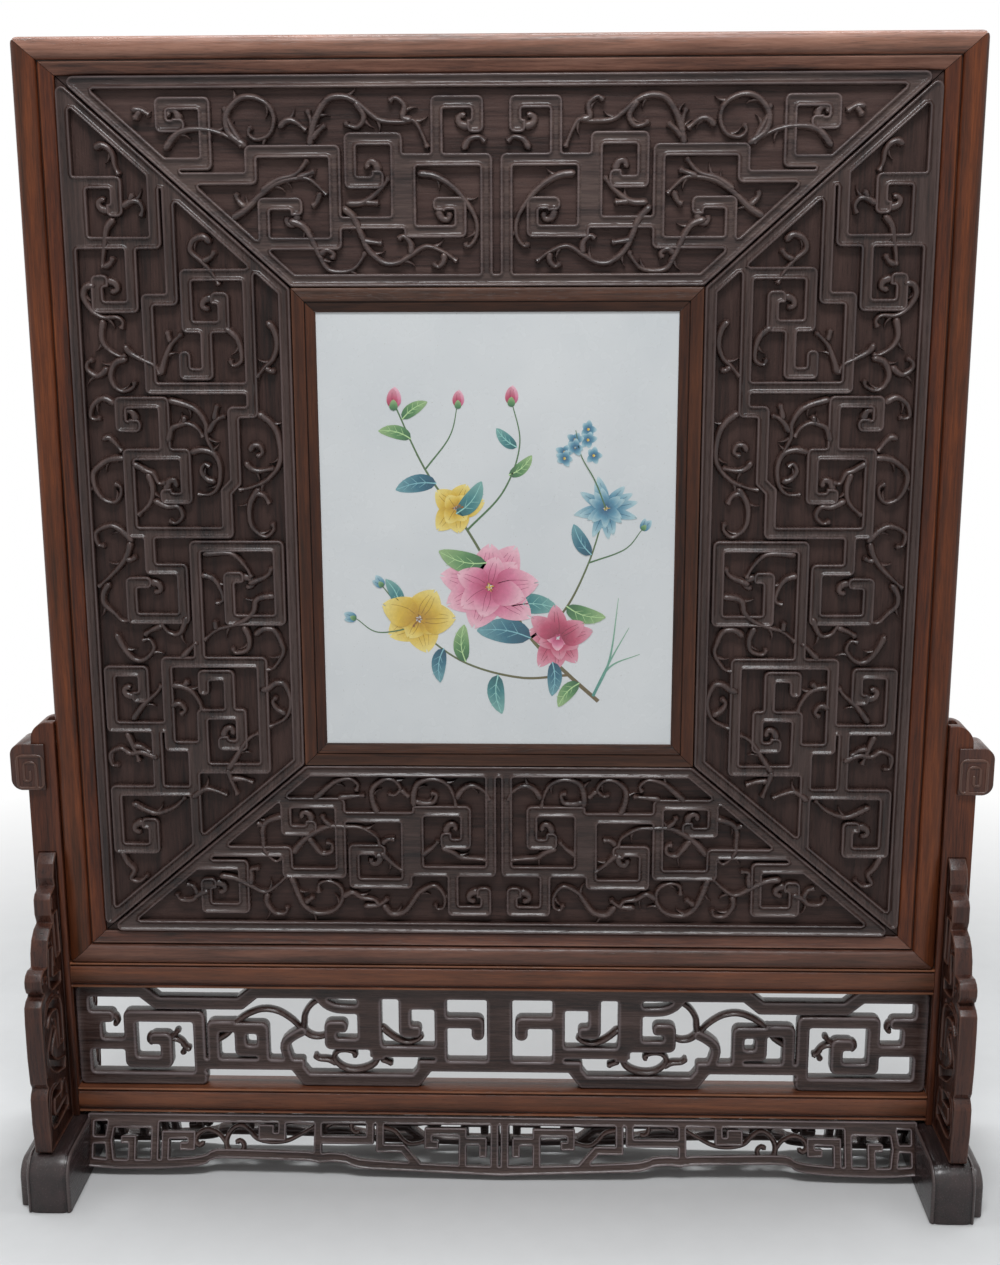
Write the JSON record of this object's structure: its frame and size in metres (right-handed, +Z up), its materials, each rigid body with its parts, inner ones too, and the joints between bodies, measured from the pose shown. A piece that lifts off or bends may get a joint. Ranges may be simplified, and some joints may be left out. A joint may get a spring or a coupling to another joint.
{
  "type": "table screen",
  "caption": "Standing table screen: a fretted rosewood panel framing a porcelain plaque, lifting out of a footed stand with openwork frets, scrolled spandrels and aprons.",
  "frame": {"origin": "on the floor under the middle of the stand, at the centre of the bounding box's base", "axes": "+Z up, +X to the viewer's right across the screen, +Y from the carved front to the plain back"},
  "size_m": [0.7322, 0.156, 0.852],
  "materials": {
    "frame_rosewood": "waxed, satin",
    "carved_rosewood": "waxed, satin",
    "stand_rosewood": "waxed, satin",
    "back_wood": "plain, matt",
    "porcelain": "clear glaze over enamels"
  },
  "bodies": {
    "stand": {"left_foot": "stand_rosewood", "right_foot": "stand_rosewood", "left_post": "frame_rosewood", "right_post": "frame_rosewood", "left_ear": "stand_rosewood", "right_ear": "stand_rosewood", "spandrel_front_left": "stand_rosewood", "spandrel_front_right": "stand_rosewood", "spandrel_back_left": "stand_rosewood", "spandrel_back_right": "stand_rosewood", "upper_rail": "frame_rosewood", "lower_rail": "frame_rosewood", "fretwork_panel": "carved_rosewood", "apron_front": "carved_rosewood", "apron_back": "carved_rosewood"},
    "panel": {"panel_left_stile": "frame_rosewood", "panel_right_stile": "frame_rosewood", "panel_top_rail": "frame_rosewood", "panel_bottom_rail": "frame_rosewood", "carved_board_top": "carved_rosewood", "carved_board_bottom": "carved_rosewood", "carved_board_left": "carved_rosewood", "carved_board_right": "carved_rosewood", "plaque_frame_top": "frame_rosewood", "plaque_frame_bottom": "frame_rosewood", "plaque_frame_left": "frame_rosewood", "plaque_frame_right": "frame_rosewood", "porcelain_plaque": "porcelain", "back_board": "back_wood"}
  },
  "joints": [
    {"name": "panel_lift", "type": "slide", "parent": "stand", "child": "panel", "axis": [0, 0, 1], "range_m": [0, 0.21]}
  ]
}
